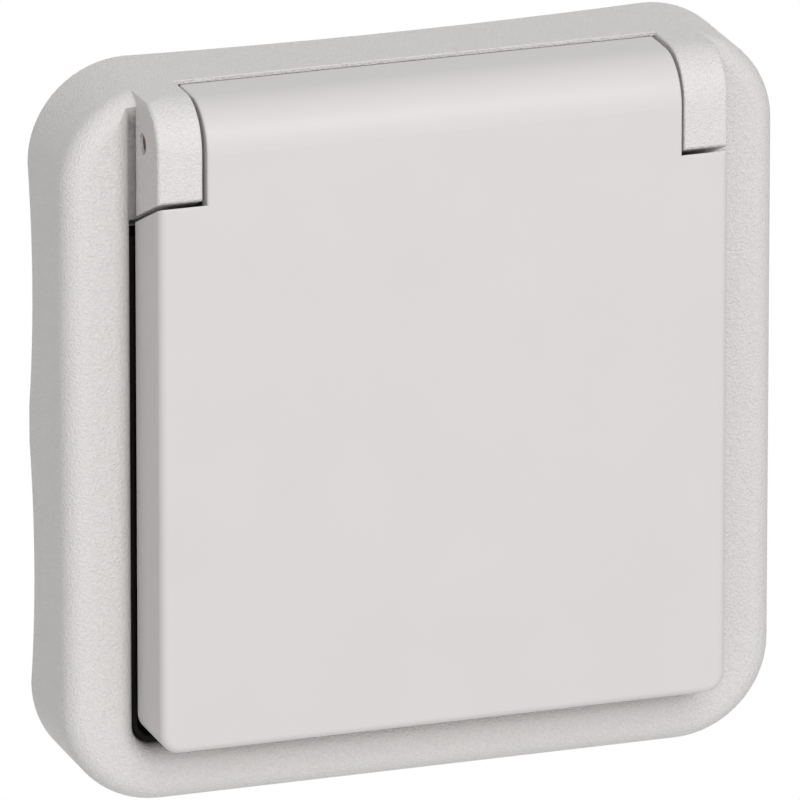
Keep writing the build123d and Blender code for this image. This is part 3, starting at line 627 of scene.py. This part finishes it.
class SOCKET_OT_stage(bpy.types.Operator):
    """Camera, one soft lamp, pale floor and white surroundings"""

    bl_idname = "socket.stage"
    bl_label = "Studio"

    def execute(self, context):
        scene = context.scene
        scene.view_settings.view_transform = "Standard"
        self.camera(scene)
        self.lamp()
        self.floor(scene)
        self.surroundings(scene)
        return {"FINISHED"}

    def camera(self, scene):
        """Camera at the photograph's view."""
        a, e = radians(VIEW_AZIMUTH), radians(VIEW_ELEVATION)
        back = Vector((sin(a) * cos(e), -cos(a) * cos(e), sin(e)))
        right = Vector((cos(a), sin(a), 0))
        up = back.cross(right)
        data = bpy.data.cameras.new("camera")
        data.lens = VIEW_LENS
        data.sensor_width = SENSOR_W
        data.clip_start, data.clip_end = CLIP_START, CLIP_END
        place = back * VIEW_DISTANCE + right * VIEW_OFFSET[0] + up * VIEW_OFFSET[1]
        turn = Matrix((right, up, back)).transposed().to_4x4()
        scene.camera = link("camera", data)
        scene.camera.matrix_world = Matrix.Translation(place) @ turn

    def lamp(self):
        """Soft disk in front of the socket and above it, aimed at the frame origin."""
        data = bpy.data.lights.new("key", "AREA")
        data.shape = "DISK"
        data.size = KEY_SIZE
        data.energy = KEY_POWER
        lamp = link("key", data)
        lamp.location = KEY_PLACE
        lamp.rotation_mode = "QUATERNION"
        lamp.rotation_quaternion = Vector(KEY_PLACE).to_track_quat("Z", "Y")
        lamp.visible_camera = False

    def floor(self, scene):
        """Paper that keeps the shadow in its middle and fades to white, so that no edge shows."""
        shell = bmesh.new()
        bmesh.ops.create_grid(shell, x_segments=2, y_segments=2, size=FLOOR_HALF)
        floor = smooth_piece("studio_floor", shell)
        floor.location.z = -scene.socket_sizes.floor_drop
        # Matt paper: pale and without gloss.
        material, tree, shader = surface("studio_paper", linear("F4F4F2"), roughness=0.9)
        place = add(tree, "ShaderNodeTexCoord").outputs["Object"]
        reach = add(tree, "ShaderNodeVectorMath", {0: place}, operation="LENGTH")
        fade = add(tree, "ShaderNodeMapRange", {"Value": reach.outputs["Value"],
                                                "From Min": FADE_START, "From Max": FADE_END,
                                                "To Min": FLOOR_WHITE})
        share = add(tree, "ShaderNodeMath", {0: background_rays(tree), 1: fade.outputs["Result"]},
                    operation="MULTIPLY")
        white = add(tree, "ShaderNodeEmission", {"Color": WHITE, "Strength": 1.0})
        mix = add(tree, "ShaderNodeMixShader", {0: share.outputs[0], 1: shader.outputs[0],
                                                2: white.outputs[0]})
        tree.links.new(mix.outputs[0], tree.nodes["Material Output"].inputs["Surface"])
        floor.data.materials.append(material)

    def surroundings(self, scene):
        """White for the eye, with broad fill from the front and above, and a little from the left."""
        world = bpy.data.worlds.new("studio")
        world.use_nodes = True
        scene.world = world
        tree = world.node_tree
        tree.nodes.clear()
        towards = add(tree, "ShaderNodeTexCoord").outputs["Generated"]
        split = add(tree, "ShaderNodeSeparateXYZ", {"Vector": towards})
        level = 0.0
        for axis, end, top in FILL:
            part = add(tree, "ShaderNodeMapRange", {"Value": split.outputs[axis], "From Max": end,
                                                    "To Max": top})
            level = add(tree, "ShaderNodeMath", {0: part.outputs["Result"], 1: level}).outputs[0]
        fill = add(tree, "ShaderNodeBackground", {"Color": WHITE, "Strength": level})
        white = add(tree, "ShaderNodeBackground", {"Color": WHITE, "Strength": 1.0})
        mix = add(tree, "ShaderNodeMixShader", {0: background_rays(tree), 1: fill.outputs[0],
                                                2: white.outputs[0]})
        add(tree, "ShaderNodeOutputWorld", {"Surface": mix.outputs[0]})


OPERATORS = (
    SOCKET_OT_cover,
    SOCKET_OT_hinge,
    SOCKET_OT_seals,
    SOCKET_OT_face,
    SOCKET_OT_insert,
    SOCKET_OT_shutter,
    SOCKET_OT_stage,
)


class SOCKET_PT_panel(bpy.types.Panel):
    """Sidebar list of the socket's finishes and pieces"""

    bl_idname = "SOCKET_PT_panel"
    bl_label = "Wall socket"
    bl_space_type = "VIEW_3D"
    bl_region_type = "UI"
    bl_category = "Socket"

    def draw(self, context):
        for group in (context.scene.socket_finish, context.scene.socket_sizes):
            box = self.layout.box()
            for key in group.bl_rna.properties.keys():
                if key not in ("rna_type", "name"):
                    box.prop(group, key)
        for operator in OPERATORS:
            self.layout.operator(operator.bl_idname)


CLASSES = (SocketFinish, SocketSizes, *OPERATORS, SOCKET_PT_panel)


def register():
    for cls in CLASSES:
        bpy.utils.register_class(cls)
    bpy.types.Scene.socket_finish = PointerProperty(type=SocketFinish)
    bpy.types.Scene.socket_sizes = PointerProperty(type=SocketSizes)


def unregister():
    del bpy.types.Scene.socket_sizes
    del bpy.types.Scene.socket_finish
    for cls in reversed(CLASSES):
        bpy.utils.unregister_class(cls)


def main():
    """Make every piece in order."""
    register()
    for operator in OPERATORS:
        group, name = operator.bl_idname.split(".")
        getattr(getattr(bpy.ops, group), name)()


if __name__ == "__main__":
    main()
